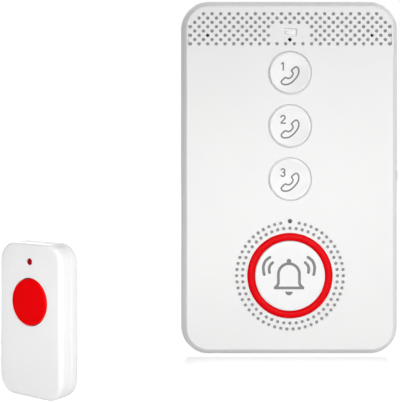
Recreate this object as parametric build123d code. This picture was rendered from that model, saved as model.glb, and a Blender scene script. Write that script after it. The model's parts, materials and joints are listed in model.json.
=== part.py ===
from build123d import *
import math
import os

# A wall or desk call panel with three call buttons and a large SOS button, and its help pendant.
# X runs along the panel's front, Y runs back through it, Z is up. Lengths are millimetres, angles degrees.
# The origin is the centre of the panel's flat bottom. The panel faces -Y.

# Call panel housing
panel_width = 86.0
panel_height = 140.0
panel_depth = 18.0
panel_corner = 11.0
rim_width = 2.25
rim_depth = 3.2
wall = 2.0
face_thickness = 2.0
rear_cover_depth = 5.0
rear_edge = 1.2
fit_gap = 0.15
close_gap = 0.06
lip_thickness = 1.0
lip_height = 2.0

# Dots of the grille and of the circles, written with four sides to keep the faces few
dot_radius = 0.75
dot_sides = 4
peg_sides = 12
cap_sides = 48
ring_sides = 72
dimple_depth = 0.7
half_pitch = 1.708
row_pitch = 1.69
grille_rows = 8
grille_margin = 3.3
grille_corner_skip = 3
mesh_thickness = 0.3
mesh_edge = 0.6
mesh_opening = 1.1
sound_hole_column = 19

# Status window and microphone
window_width = 5.6
window_height = 2.9
window_round = 0.3
window_rows = 4.29
window_drop = 12.5
window_clear_x = 8.5
window_clear_z = 3.4
window_wing = 1.4
wing_thickness = 1.0
microphone_size = (3.8, 1.1, 2.4)
gasket_width = 5.0
gasket_height = 2.6
microphone_row = 6
microphone_hole = 0.75

# SOS button, its ring and the two circles of dots
sos_z = 31.4
ring_outer = 16.8
ring_inner = 13.9
ring_proud = 0.5
ring_edge = 0.6
lug_count = 3
ring_lug_turn = 30.0
ring_lug_reach = 1.0
ring_lug_width = 4.0
ring_lug_thickness = 0.8
ring_lug_seat = 1.0
sos_gap = 0.15
sos_proud = 0.6
sos_edge = 0.5
sos_travel = 0.8
sos_arm_turn = -90.0
inner_dots = 48
inner_dots_radius = 18.75
outer_dots = 54
outer_dots_radius = 21.05
diffuser_thickness = 0.8
diffuser_margin = 1.6
diffuser_sides = 24
indicator_radius = 0.85
indicator_reach = 21.55
indicator_foot = 1.5

# Call buttons, with the room below and above their row as shares of the space between two
call_count = 3
call_radius = 8.1
call_gap = 0.25
call_proud = 0.6
call_edge = 0.45
call_travel = 0.5
call_low_share = 1.85
call_high_share = 0.54
lug_width = 3.0
lug_thickness = 1.0
lug_reach = 1.3
lug_gap = 0.1
guide_gap = 0.3
guide_thickness = 1.0
guide_depth = 2.6

# Main board and what it carries
button_space = 5.5
board_thickness = 1.6
board_side_room = 11.0
board_edge = 5.0
board_corner = 2.0
tab_room = 2.5
tab_below_power = 9.0
tab_above_usb = 8.0
support_inset = 5.0
support_heights = (14.0, 56.0, 94.0)
support_size = (1.5, 6.0)
switch_height = 3.4
call_switch_width = 6.0
call_plunger_width = 3.2
sos_switch_width = 12.0
sos_plunger_width = 5.0
plunger_gap = 0.15
plunger_rise = 0.9
plunger_end_gap = 0.4
led_size = (2.0, 0.8, 1.2)
led_gap = 0.2

# Speaker
speaker_width = 30.0
speaker_height = 13.6
speaker_depth = 4.6
speaker_x = 21.5
speaker_rim = 1.2
speaker_back = 0.6
cone_steps = 3
cone_thickness = 0.3
cone_edge = 1.0
magnet_size = (13.0, 9.0)
magnet_depth = 1.8

# Battery, radio and sockets
battery_size = (34.0, 5.0, 53.5)
battery_edge = 0.8
battery_rib = 1.2
battery_rib_length = 8.0
battery_rib_height = 3.0
battery_gap = 0.2
connector_width = 9.0
connector_height = 3.0
sim_size = (16.0, 1.5, 14.0)
module_gap = 3.5
connector_room = 5.3
sim_shell = (1.0, 0.3, 1.0)
radio_size = (20.0, 2.2, 16.0)
radio_base = 0.8
radio_edge = 1.0
radio_drop = 1.5

# Control chips: side of the board, height over the bottom and size of each
chip_inset = 7.5
chips = (
    (-1, 74.0, (7.0, 1.0, 7.0)),
    (1, 76.0, (6.0, 1.0, 5.0)),
    (1, 36.0, (4.0, 1.0, 4.0)),
    (-1, 34.0, (5.0, 1.8, 5.0)),
)
antenna_size = (0.4, 6.0, 50.0)
antenna_y = -2.0
antenna_drop = 12.0
usb_z = 84.0
usb_depth = 7.0
usb_width = 7.6
usb_height = 2.8
usb_shell = 0.35
usb_recess = 0.4
usb_opening_gap = 0.5
tongue_width = 3.8
tongue_thickness = 0.6
tongue_recess = 1.0
power_below_usb = 13.0
power_travel = 2.0
power_body = (4.4, 3.6, 9.0)
power_body_gap = 0.5
knob_width = 3.0
knob_height = 1.6
knob_gap = 0.3
knob_proud = 0.5
knob_depth = 1.6
knob_notch = 0.4
knob_notch_place = 0.6

# Screws and keyholes
screw_radius = 1.2
screw_head_radius = 2.3
screw_head_height = 1.1
screw_head_depth = 0.1
screw_length = 10.0
screw_inset = 7.5
screw_low_z = 9.0
screw_drop = 23.0
boss_width = 6.0
keyhole_inset = 18.0
keyhole_drop = 34.0
keyhole_radius = 4.0
keyhole_slot = 2.1
keyhole_rise = 7.0
pocket_depth = 4.6
pocket_wall = 1.2
pocket_clear = 1.0

# Help pendant: it stands on its lower edge in front of the panel, turned about Z
pendant_x = -88.9
pendant_y = -62.5
pendant_turn = -33.8
pendant_width = 28.0
pendant_height = 50.5
pendant_depth = 8.5
pendant_corner = 6.4
pendant_edge = 1.0
pendant_wall = 1.2
pendant_front_depth = 5.0
pendant_lip = 1.4
pendant_lip_thickness = 0.8
pendant_rib_inset = 10.2
pendant_rib_width = 1.2
pendant_rib_share = 4.0
pendant_button_drop = 19.2
pendant_button_radius = 7.6
pendant_button_gap = 0.3
pendant_button_proud = 0.5
pendant_button_edge = 0.5
pendant_travel = 0.5
pendant_lug_reach = 1.1
pendant_arm_thickness = 0.7
pendant_arm_turn = -90.0
pendant_lens_drop = 6.0
pendant_lens_radius = 0.95
pendant_lens_foot = 0.3
pendant_board_thickness = 0.8
pendant_board_y = 1.0
pendant_board_gap = 0.2
pendant_board_lift = 2.4
pendant_board_corner = 3.2
pendant_switch_width = 5.0
pendant_switch_height = 1.8
pendant_plunger_width = 2.2
pendant_plunger_rise = 0.8
pendant_end_gap = 0.2
cell_radius = 10.0
cell_thickness = 3.2
cell_lift = 12.6
cell_sides = 36
clip_thickness = 0.3
clip_width = 4.0

# Places worked out from the sizes above
front_y = -panel_depth / 2
rear_y = panel_depth / 2
side_x = panel_width / 2
face_y = front_y + face_thickness
seam_y = rear_y - rear_cover_depth
plate_y = rear_y - wall
board_y = face_y + button_space
board_rear_y = board_y + board_thickness
window_z = panel_height - window_drop
grille_top_z = window_z + window_rows * row_pitch
grille_low_z = grille_top_z - (grille_rows - 1) * row_pitch - dot_radius
circles_top_z = sos_z + outer_dots_radius + dot_radius
indicator_z = sos_z + indicator_reach
call_hole = call_radius + call_gap
call_room = grille_low_z - circles_top_z - 2 * call_hole * call_count
call_space = call_room / (call_count - 1 + call_low_share + call_high_share)
call_pitch = 2 * call_hole + call_space
call_lowest_z = circles_top_z + call_low_share * call_space + call_hole
call_highest_z = call_lowest_z + (call_count - 1) * call_pitch
microphone_z = grille_top_z - microphone_row * row_pitch
switch_y = board_y - switch_height
plunger_y = switch_y - plunger_rise
lug_y = face_y + lug_gap
board_top_z = panel_height - wall - board_edge
board_low_z = wall + board_edge
board_half = side_x - board_side_room
support_x = board_half - support_inset
chip_x = board_half - chip_inset
power_z = usb_z - power_below_usb
radio_z = board_top_z - radio_drop - radio_size[2] / 2
sim_z = radio_z - radio_size[2] / 2 - module_gap - sim_size[2] / 2
connector_z = sim_z - sim_size[2] / 2 - connector_room - connector_height
battery_top = connector_z - battery_gap
battery_bottom = battery_top - battery_size[2]
screw_x = side_x - screw_inset
screw_high_z = panel_height - screw_drop
antenna_z = screw_high_z - antenna_drop - antenna_size[2] / 2
keyhole_x = side_x - keyhole_inset
keyhole_z = panel_height - keyhole_drop
pendant_button_z = pendant_height - pendant_button_drop
pendant_lens_z = pendant_height - pendant_lens_drop
pendant_front_y = -pendant_depth / 2
pendant_rear_y = pendant_depth / 2
pendant_face_y = pendant_front_y + pendant_wall
pendant_seam_y = pendant_front_y + pendant_front_depth
pendant_plate_y = pendant_rear_y - pendant_wall
pendant_lip_x = pendant_width / 2 - pendant_wall - fit_gap


def slab(sketch, y_near, y_far):
    """A sketch drawn in X and Z, as a solid from y_near back to y_far."""
    plane = Plane(origin=(0, y_far, 0), x_dir=(1, 0, 0), z_dir=(0, -1, 0))
    return extrude(plane * sketch, amount=y_far - y_near)


def rect(x, z, width, height):
    return Pos(x, z) * Rectangle(width, height)


def disc(x, z, radius):
    return Pos(x, z) * Circle(radius)


def dot(x, z, radius):
    return Pos(x, z) * RegularPolygon(radius, dot_sides)


def cap_disc(x, z, radius, sides=cap_sides):
    """The disc of a button or of its hole, with many short sides."""
    return Pos(x, z) * RegularPolygon(radius, sides)


def peg(x, z, radius):
    """A small round shape with few sides, for screws, lenses and what else is small or hidden."""
    return Pos(x, z) * RegularPolygon(radius, peg_sides, major_radius=False)


def window_shape(grow):
    """The status window's outline: a bar with well rounded ends, in straight facets."""
    height = window_height + 2 * grow
    bar = Rectangle(window_width + 2 * grow, height)
    return Pos(0, window_z) * chamfer(bar.vertices(), height * window_round)


def block(x, y, z):
    """A box from pairs of limits along X, Y and Z."""
    size = Box(x[1] - x[0], y[1] - y[0], z[1] - z[0])
    return Pos((x[0] + x[1]) / 2, (y[0] + y[1]) / 2, (z[0] + z[1]) / 2) * size


def around(centre, width):
    return (centre - width / 2, centre + width / 2)


def panel_outline(inset):
    shape = RectangleRounded(panel_width - 2 * inset, panel_height - 2 * inset, panel_corner - inset)
    return Pos(0, panel_height / 2) * shape


def face_at(solid, y):
    """The flat face of a solid that lies nearest to the plane at y."""
    return solid.faces().filter_by(Axis.Y).sort_by(lambda f: abs(f.center().Y - y))[0]


def call_heights():
    """Heights of the call buttons, the first at the top."""
    return [call_highest_z - call_pitch * i for i in range(call_count)]


def grille_points():
    """Centres of the grille's dots: staggered rows that round the top corners and leave the window free."""
    columns = int((side_x - grille_margin) / half_pitch)
    points = []
    for row in range(grille_rows):
        last = min(columns, columns - grille_corner_skip + row)
        last -= (last - row) % 2
        z = grille_top_z - row * row_pitch
        for column in range(-last, last + 1, 2):
            x = column * half_pitch
            if abs(x) > window_clear_x or abs(z - window_z) > window_clear_z:
                points.append((x, z))
    return points


def ring_points():
    """Centres of the dots in the two circles about the SOS button, with room left for the indicator."""
    inner_step = 2 * math.pi / inner_dots
    outer_step = 2 * math.pi / outer_dots
    inner = [(inner_dots_radius, i * inner_step) for i in range(inner_dots)]
    outer = [(outer_dots_radius, (i + 0.5) * outer_step) for i in range(1, outer_dots - 1)]
    return [(r * math.sin(a), sos_z + r * math.cos(a)) for r, a in inner + outer]


def screw_places():
    return [(side * screw_x, z) for side in (-1, 1) for z in (screw_low_z, screw_high_z)]


def make_screw():
    """A flat-headed screw along Y, its head just under the rear face."""
    top = rear_y - screw_head_depth
    under = top - screw_head_height
    shank = slab(peg(0, 0, screw_radius), rear_y - screw_length, under)
    return shank + slab(peg(0, 0, screw_head_radius), under, top)


def make_dimple():
    """A four-sided pit with its point inwards along Y."""
    side = dot_radius * math.sqrt(2)
    pit = Wedge(side, dimple_depth, side, side / 2, side / 2, side / 2, side / 2)
    return Rot(0, 45, 0) * Pos(0, dimple_depth / 2, 0) * pit


def face_plate(outline):
    """The cover's face inside the slanted rim, with its holes and the dimples of the two circles."""
    holes = [cap_disc(0, z, call_hole) for z in call_heights()]
    holes.append(cap_disc(0, sos_z, ring_outer + close_gap, ring_sides))
    holes.append(window_shape(close_gap))
    holes.append(dot(0, microphone_z, microphone_hole))
    holes.append(peg(0, indicator_z, indicator_radius + close_gap))
    holes += [dot(x, z, dot_radius) for x, z in grille_points()]
    plate = slab(outline - holes, front_y, face_y)
    return plate - [Pos(x, front_y, z) * make_dimple() for x, z in ring_points()]


def front_cover_ribs():
    """Screw bosses with webs, ribs under the board, and guides that stop the buttons turning."""
    ribs = []
    for x, z in screw_places():
        wall_x = math.copysign(side_x - wall, x)
        ribs.append(block(around(x, boss_width), (face_y, plate_y), around(z, boss_width)))
        ribs.append(block(sorted((x, wall_x)), (face_y, seam_y), around(z, wall)))
    for z in support_heights:
        for side in (-1, 1):
            x = side * support_x
            ribs.append(block(around(x, support_size[0]), (face_y, board_y), around(z, support_size[1])))
    offset = (lug_width + guide_thickness) / 2 + guide_gap
    for z in call_heights():
        for side in (-1, 1):
            reach = (call_hole + guide_gap, call_hole + lug_reach)
            guide_z = around(z + side * offset, guide_thickness)
            ribs.append(block(reach, (face_y, face_y + guide_depth), guide_z))
    return ribs


def front_cover_cuts():
    """The screws' pilot holes, and the side wall's openings for the socket and the power switch."""
    pilot_y = rear_y - screw_length - wall
    cuts = [slab(peg(x, z, screw_radius + close_gap), pilot_y, plate_y) for x, z in screw_places()]
    in_wall = (side_x - wall, side_x)
    usb_y = around(board_y - usb_height / 2, usb_height + 2 * usb_opening_gap)
    cuts.append(block(in_wall, usb_y, around(usb_z, usb_width + 2 * usb_opening_gap)))
    slot_y = around(board_y - power_body[1] / 2, knob_height + 2 * knob_gap)
    slot_z = around(power_z + power_travel / 2, knob_width + power_travel + 2 * knob_gap)
    cuts.append(block(in_wall, slot_y, slot_z))
    return cuts


def make_front_cover():
    body = slab(panel_outline(0), front_y, seam_y)
    face = face_at(body, front_y)
    body = chamfer(face.outer_wire().edges(), length=rim_width, length2=rim_depth, reference=face)
    flat = panel_outline(rim_width)
    body -= slab(flat, front_y, face_y)
    body -= slab(panel_outline(wall), face_y, seam_y)
    body -= front_cover_cuts()
    ribs = Part() + front_cover_ribs() - front_cover_cuts()
    return body + [ribs, face_plate(flat)]


def keyhole(x):
    """Outline of one keyhole: a round entry for the screw head and a slot that rises from it."""
    slot = rect(x, keyhole_z + keyhole_rise / 2, 2 * keyhole_slot, keyhole_rise)
    return disc(x, keyhole_z, keyhole_radius) + slot + disc(x, keyhole_z + keyhole_rise, keyhole_slot)


def pocket_limits(x, grow):
    """Limits along X and Z of the pocket behind a keyhole, grown by a wall where asked."""
    reach = keyhole_radius + pocket_clear + grow
    top = keyhole_z + keyhole_rise + keyhole_radius + pocket_clear + grow
    return (x - reach, x + reach), (keyhole_z - reach, top)


def make_rear_cover():
    body = slab(panel_outline(0), seam_y, rear_y)
    body = chamfer(face_at(body, rear_y).outer_wire().edges(), length=rear_edge)
    body -= slab(panel_outline(wall), seam_y, plate_y)

    # Straight lips that seat inside the front cover
    lip = side_x - wall - fit_gap
    lip_z = (screw_low_z + boss_width, screw_high_z - boss_width)
    lip_y = (seam_y - lip_height, plate_y)
    lip_half = panel_width / 2 - panel_corner - wall
    for side in (-1, 1):
        body += block(sorted((side * lip, side * (lip - lip_thickness))), lip_y, lip_z)
    low = wall + fit_gap
    high = panel_height - wall - fit_gap
    body += block((-lip_half, lip_half), lip_y, (low, low + lip_thickness))
    body += block((-lip_half, lip_half), lip_y, (high - lip_thickness, high))
    # Bridges that tie the side lips to the wall above the seam
    for side in (-1, 1):
        bridge = sorted((side * (lip - lip_thickness), side * (side_x - wall)))
        body += block(bridge, (seam_y, plate_y), lip_z)
    # Ribs that press the board down
    for z in support_heights:
        for side in (-1, 1):
            x = side * support_x
            body += block(around(x, support_size[0]), (board_rear_y, plate_y), around(z, support_size[1]))
    # Corner ribs that hold the battery
    half = battery_size[0] / 2 + battery_gap
    ends = (battery_bottom - battery_gap, battery_top + battery_gap)
    rib_y = (plate_y - battery_rib_height, plate_y)
    for side in (-1, 1):
        inner = side * half
        outer = side * (half + battery_rib)
        for z, upward in ((ends[0], 1), (ends[1], -1)):
            along = sorted((z, z + upward * battery_rib_length))
            across = sorted((z - upward * battery_rib, z))
            body += block(sorted((inner, outer)), rib_y, along)
            body += block(sorted((outer, outer - side * battery_rib_length)), rib_y, across)

    # Keyholes, each with a walled pocket for the head of the wall screw
    floor_y = plate_y - pocket_depth
    for side in (-1, 1):
        x = side * keyhole_x
        outer_x, outer_z = pocket_limits(x, pocket_wall)
        inner_x, inner_z = pocket_limits(x, 0)
        body += block(outer_x, (floor_y, plate_y), outer_z)
        body -= block(inner_x, (floor_y + pocket_wall, plate_y), inner_z)
        body -= slab(keyhole(x), plate_y, rear_y)

    seat_y = rear_y - screw_head_depth - screw_head_height
    for x, z in screw_places():
        body -= slab(peg(x, z, screw_radius + close_gap), plate_y, rear_y)
        body -= slab(peg(x, z, screw_head_radius + close_gap), seat_y, rear_y)
    return body


def make_cover_screws():
    return Compound([Pos(x, 0, z) * make_screw() for x, z in screw_places()])


def make_board():
    height = board_top_z - board_low_z
    plate = Pos(0, (board_top_z + board_low_z) / 2) * Rectangle(2 * board_half, height)
    plate = chamfer(plate.vertices(), board_corner)
    left = board_half - board_corner
    right = side_x - wall - tab_room
    low = power_z - tab_below_power
    high = usb_z + tab_above_usb
    tab = rect((left + right) / 2, (low + high) / 2, right - left, high - low)
    return slab(plate + tab, board_y, board_rear_y)


def make_switch(z, width, plunger_width):
    """A push switch on the board, bored for its square plunger."""
    body = block(around(0, width), (switch_y, board_y), around(z, width))
    bore = plunger_width + 2 * plunger_gap
    return body - block(around(0, bore), (switch_y, board_y - plunger_end_gap), around(z, bore))


def make_plunger(z, width, travel):
    end_y = board_y - 2 * plunger_end_gap - travel
    return block(around(0, width), (plunger_y, end_y), around(z, width))


def round_cap(outline, edge, near, back):
    """A round button cap from its proud front to the back of the housing's face."""
    body = slab(outline, near, back)
    return chamfer(face_at(body, near).outer_wire().edges(), length=edge)


def clip_arms(reach, thickness, back, turn):
    """Flat arms on the back of a cap, which catch behind the housing."""
    arm = block((0, reach), (back, back + thickness), around(0, lug_width))
    return [Rot(0, turn + 360 * i / lug_count, 0) * arm for i in range(lug_count)]


def make_button(z, cap, hole, plunger_width, turn):
    """A cap with its clip arms and the post that presses the plunger."""
    post = block(around(0, plunger_width), (lug_y, plunger_y), around(0, plunger_width))
    arms = clip_arms(hole + lug_reach - guide_gap, lug_thickness, lug_y, turn)
    return Pos(0, 0, z) * (cap + arms + [post])


def make_call_button(z):
    cap = round_cap(cap_disc(0, 0, call_radius), call_edge, front_y - call_proud, lug_y)
    return make_button(z, cap, call_hole, call_plunger_width, 0)


def make_sos_button():
    outline = cap_disc(0, 0, ring_inner - sos_gap, ring_sides)
    cap = round_cap(outline, sos_edge, front_y - sos_proud, lug_y)
    return make_button(sos_z, cap, ring_inner, sos_plunger_width, sos_arm_turn)


def make_sos_ring():
    """The red light ring, its front bevelled on both edges, with lugs behind the housing's face."""
    near = front_y - ring_proud
    outline = cap_disc(0, 0, ring_outer, ring_sides) - cap_disc(0, 0, ring_inner, ring_sides)
    ring = slab(outline, near, face_y)
    ring = chamfer(face_at(ring, near).edges(), length=ring_edge)
    lug = block(
        (ring_outer - ring_lug_seat, ring_outer + ring_lug_reach),
        (face_y, face_y + ring_lug_thickness),
        around(0, ring_lug_width),
    )
    ring += [Rot(0, ring_lug_turn + 360 * i / lug_count, 0) * lug for i in range(lug_count)]
    return Pos(0, 0, sos_z) * ring


def make_light_diffuser():
    """A thin sheet behind the two circles of dots that spreads the LEDs' light to the ring's lugs."""
    inner = ring_outer + ring_lug_reach + 2 * fit_gap
    outer = outer_dots_radius + diffuser_margin
    ring = RegularPolygon(outer, diffuser_sides) - RegularPolygon(inner, diffuser_sides, major_radius=False)
    foot = 2 * (indicator_foot + fit_gap)
    notch = rect(0, indicator_z, foot, foot)
    return slab(Pos(0, sos_z) * ring - notch, face_y, face_y + diffuser_thickness)


def make_status_window():
    led_near = board_y - led_size[1] - led_gap
    pipe = slab(window_shape(0), front_y, face_y)
    wings = window_width + 2 * window_wing
    pipe += block(around(0, wings), (face_y, face_y + wing_thickness), around(window_z, window_height))
    pipe += block(around(0, led_size[0]), (face_y, led_near), around(window_z, led_size[2]))
    return pipe


def make_indicator():
    led_near = board_y - led_size[1] - led_gap
    pipe = slab(peg(0, indicator_z, indicator_radius), front_y, face_y)
    foot = 2 * indicator_foot
    return pipe + block(around(0, foot), (face_y, led_near), around(indicator_z, foot))


def make_leds():
    lights = [
        block(around(0, led_size[0]), (board_y - led_size[1], board_y), around(z, led_size[2]))
        for z in (window_z, indicator_z)
    ]
    return Compound(lights)


def make_speaker_mesh():
    low = grille_low_z - dot_radius
    high = panel_height - wall
    sheet = panel_outline(wall + mesh_edge) & rect(0, (low + high) / 2, panel_width, high - low)
    # Clear of the window and its wings, of the microphone, and behind one more sound hole on each side
    gap_high = window_z + window_height / 2 + fit_gap
    gap_low = microphone_z - gasket_height / 2 - fit_gap
    wings = window_width + 2 * window_wing + 2 * fit_gap
    sheet -= rect(0, (gap_high + gap_low) / 2, wings, gap_high - gap_low)
    hole_z = grille_top_z - (microphone_row - 1) * row_pitch
    for side in (-1, 1):
        sheet -= dot(side * sound_hole_column * half_pitch, hole_z, mesh_opening)
    return slab(sheet, face_y, face_y + mesh_thickness)


def speaker_z():
    return grille_top_z - (grille_rows - 1) * row_pitch / 2


def speaker_near():
    return face_y + mesh_thickness


def make_speaker_frame():
    near = speaker_near()
    far = near + speaker_depth - magnet_depth
    z = speaker_z()
    frame = block(around(speaker_x, speaker_width), (near, far), around(z, speaker_height))
    inside = (speaker_width - 2 * speaker_rim, speaker_height - 2 * speaker_rim)
    frame -= block(around(speaker_x, inside[0]), (near, far - speaker_back), around(z, inside[1]))
    magnet_y = (far, far + magnet_depth)
    return frame + block(around(speaker_x, magnet_size[0]), magnet_y, around(z, magnet_size[1]))


def make_speaker_cone():
    """A shallow stepped trough with a flat edge that seats inside the speaker frame."""
    near = speaker_near() + cone_thickness
    width = speaker_width - 2 * speaker_rim
    height = speaker_height - 2 * speaker_rim
    cone = Part()
    for step in range(cone_steps):
        outer = 2 * step * cone_edge
        inner = outer + 4 * cone_edge
        y = near + step * cone_thickness
        shape = rect(speaker_x, speaker_z(), width - outer, height - outer)
        if step < cone_steps - 1:
            shape -= rect(speaker_x, speaker_z(), width - inner, height - inner)
        cone += slab(shape, y, y + cone_thickness)
    return cone


def make_microphone():
    size = microphone_size
    return block(around(0, size[0]), (board_y - size[1], board_y), around(microphone_z, size[2]))


def make_microphone_gasket():
    near = face_y
    far = board_y - microphone_size[1]
    body = block(around(0, gasket_width), (near, far), around(microphone_z, gasket_height))
    return body - slab(dot(0, microphone_z, microphone_hole), near, far)


def make_battery():
    width, depth, _ = battery_size
    pack = block(around(0, width), (plate_y - depth, plate_y), (battery_bottom, battery_top))
    return chamfer(pack.edges().filter_by(Axis.Z), battery_edge)


def make_battery_connector():
    y = (board_rear_y, plate_y - battery_size[1] / 2)
    return block(around(0, connector_width), y, (connector_z, connector_z + connector_height))


def on_board_rear(x, z, size):
    return block(around(x, size[0]), (board_rear_y, board_rear_y + size[1]), around(z, size[2]))


def make_sim_socket():
    """A card socket: a low metal box, open at the top."""
    side, skin, back = sim_shell
    slot = (sim_size[0] - 2 * side, sim_size[1] - 2 * skin, sim_size[2])
    return on_board_rear(0, sim_z, sim_size) - Pos(0, skin, back) * on_board_rear(0, sim_z, slot)


def make_radio_module():
    """A radio module: its small board and a shield can on it."""
    width, depth, height = radio_size
    base = on_board_rear(0, radio_z, (width, radio_base, height))
    return base + on_board_rear(0, radio_z, (width - 2 * radio_edge, depth, height - 2 * radio_edge))


def make_control_chips():
    return Compound([on_board_rear(side * chip_x, z, size) for side, z, size in chips])


def make_antenna():
    x = -(side_x - wall)
    thickness, width, height = antenna_size
    return block((x, x + thickness), around(antenna_y, width), around(antenna_z, height))


def make_usb_socket():
    """A small charging socket: a folded metal shell with a contact tongue inside."""
    mouth_x = side_x - usb_recess
    back_x = mouth_x - usb_depth
    y = board_y - usb_height / 2
    plane = Plane(origin=(mouth_x, y, usb_z), x_dir=(0, 0, 1), z_dir=(1, 0, 0))

    def mouth(inset):
        half = usb_width / 2 - inset
        tall = usb_height / 2 - inset
        return make_face(
            Polyline(
                (-half, tall),
                (half, tall),
                (half, 0),
                (half - tall, -tall),
                (-half + tall, -tall),
                (-half, 0),
                close=True,
            )
        )

    shell = extrude(plane * mouth(0), amount=-usb_depth)
    shell -= extrude(plane * mouth(usb_shell), amount=-(usb_depth - 2 * usb_shell))
    tongue_x = (back_x + usb_shell, mouth_x - tongue_recess)
    tongue = block(tongue_x, around(y, tongue_thickness), around(usb_z, tongue_width))
    return shell + tongue


def make_power_switch_body():
    size = power_body
    far_x = side_x - wall - power_body_gap
    y = (board_y - size[1], board_y)
    middle = power_z + power_travel / 2
    body = block((far_x - size[0], far_x), y, around(middle, size[2]))
    room_z = knob_width + power_travel + 2 * knob_gap
    room_y = knob_height + 2 * knob_gap
    room = block(
        (far_x - knob_depth - knob_gap, far_x),
        around(sum(y) / 2, room_y),
        around(middle, room_z),
    )
    return body - room


def make_power_switch():
    far_x = side_x - wall - power_body_gap
    y = board_y - power_body[1] / 2
    knob_x = (far_x - knob_depth, side_x + knob_proud)
    knob = block(knob_x, around(y, knob_height), around(power_z, knob_width))
    for side in (-1, 1):
        notch = around(power_z + side * knob_notch_place, knob_notch)
        knob -= block((side_x + knob_proud / 2, side_x + knob_proud), around(y, knob_height), notch)
    return knob


def pendant_outline(inset):
    shape = RectangleRounded(
        pendant_width - 2 * inset,
        pendant_height - 2 * inset,
        pendant_corner - inset,
    )
    return Pos(0, pendant_height / 2) * shape


def make_pendant_front():
    body = slab(pendant_outline(0), pendant_front_y, pendant_seam_y)
    body = chamfer(face_at(body, pendant_front_y).outer_wire().edges(), length=pendant_edge)
    body -= slab(pendant_outline(pendant_wall), pendant_face_y, pendant_seam_y)
    hole = cap_disc(0, pendant_button_z, pendant_button_radius + pendant_button_gap)
    body -= slab(hole, pendant_front_y, pendant_face_y)
    lens = peg(0, pendant_lens_z, pendant_lens_radius + close_gap)
    return body - slab(lens, pendant_front_y, pendant_face_y)


def make_pendant_rear():
    body = slab(pendant_outline(0), pendant_seam_y, pendant_rear_y)
    body = chamfer(face_at(body, pendant_rear_y).outer_wire().edges(), length=pendant_edge)
    body -= slab(pendant_outline(pendant_wall), pendant_seam_y, pendant_plate_y)
    # Straight lips that snap inside the front shell, and the ribs under the board
    straight = (pendant_corner, pendant_height - pendant_corner)
    lip_y = (pendant_seam_y - pendant_lip, pendant_plate_y)
    inner = pendant_lip_x - pendant_lip_thickness
    for side in (-1, 1):
        body += block(sorted((side * inner, side * pendant_lip_x)), lip_y, straight)
        tie = sorted((side * inner, side * (pendant_width / 2 - pendant_wall)))
        body += block(tie, (pendant_seam_y, pendant_plate_y), straight)
    rib_y = (pendant_board_y + pendant_board_thickness, pendant_plate_y)
    for z in (pendant_rib_inset, pendant_height - pendant_rib_inset):
        body += block(around(0, 2 * inner - 2 * pendant_rib_share), rib_y, around(z, pendant_rib_width))
    return body


def make_pendant_board():
    half = pendant_lip_x - pendant_lip_thickness - pendant_board_gap
    plate = Pos(0, pendant_height / 2) * Rectangle(2 * half, pendant_height - 2 * pendant_board_lift)
    plate = chamfer(plate.vertices(), pendant_board_corner)
    return slab(plate, pendant_board_y, pendant_board_y + pendant_board_thickness)


def make_pendant_switch():
    near = pendant_board_y - pendant_switch_height
    body = block(
        around(0, pendant_switch_width),
        (near, pendant_board_y),
        around(pendant_button_z, pendant_switch_width),
    )
    bore = pendant_plunger_width + 2 * plunger_gap
    far = pendant_board_y - pendant_end_gap
    return body - block(around(0, bore), (near, far), around(pendant_button_z, bore))


def pendant_plunger_near():
    return pendant_board_y - pendant_switch_height - pendant_plunger_rise


def make_pendant_plunger():
    near = pendant_plunger_near()
    far = pendant_board_y - 2 * pendant_end_gap - pendant_travel
    width = pendant_plunger_width
    return block(around(0, width), (near, far), around(pendant_button_z, width))


def make_pendant_button():
    back = pendant_face_y + lug_gap
    near = pendant_front_y - pendant_button_proud
    cap = round_cap(cap_disc(0, 0, pendant_button_radius), pendant_button_edge, near, back)
    width = pendant_plunger_width
    post = block(around(0, width), (back, pendant_plunger_near()), around(0, width))
    reach = pendant_button_radius + pendant_button_gap + pendant_lug_reach
    arms = clip_arms(reach, pendant_arm_thickness, back, pendant_arm_turn)
    return Pos(0, 0, pendant_button_z) * (cap + arms + [post])


def make_pendant_lens():
    far = pendant_board_y - led_size[1]
    pipe = slab(peg(0, pendant_lens_z, pendant_lens_radius), pendant_front_y, pendant_face_y)
    foot = 2 * (pendant_lens_radius + pendant_lens_foot)
    return pipe + block(around(0, foot), (pendant_face_y, far), around(pendant_lens_z, foot))


def make_pendant_cell():
    cell = Pos(0, cell_lift) * RegularPolygon(cell_radius, cell_sides)
    return slab(cell, pendant_board_y - cell_thickness, pendant_board_y)


def make_pendant_clip():
    """A spring strap that goes over the coin cell and down to the board on both sides."""
    near = pendant_board_y - cell_thickness - clip_thickness
    reach = cell_radius + fit_gap
    z = around(cell_lift, clip_width)
    strap = block(around(0, 2 * (reach + clip_thickness)), (near, pendant_board_y), z)
    return strap - block(around(0, 2 * reach), (near + clip_thickness, pendant_board_y), z)


def pendant_place():
    return Pos(pendant_x, pendant_y, 0) * Rot(0, 0, pendant_turn)


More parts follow.
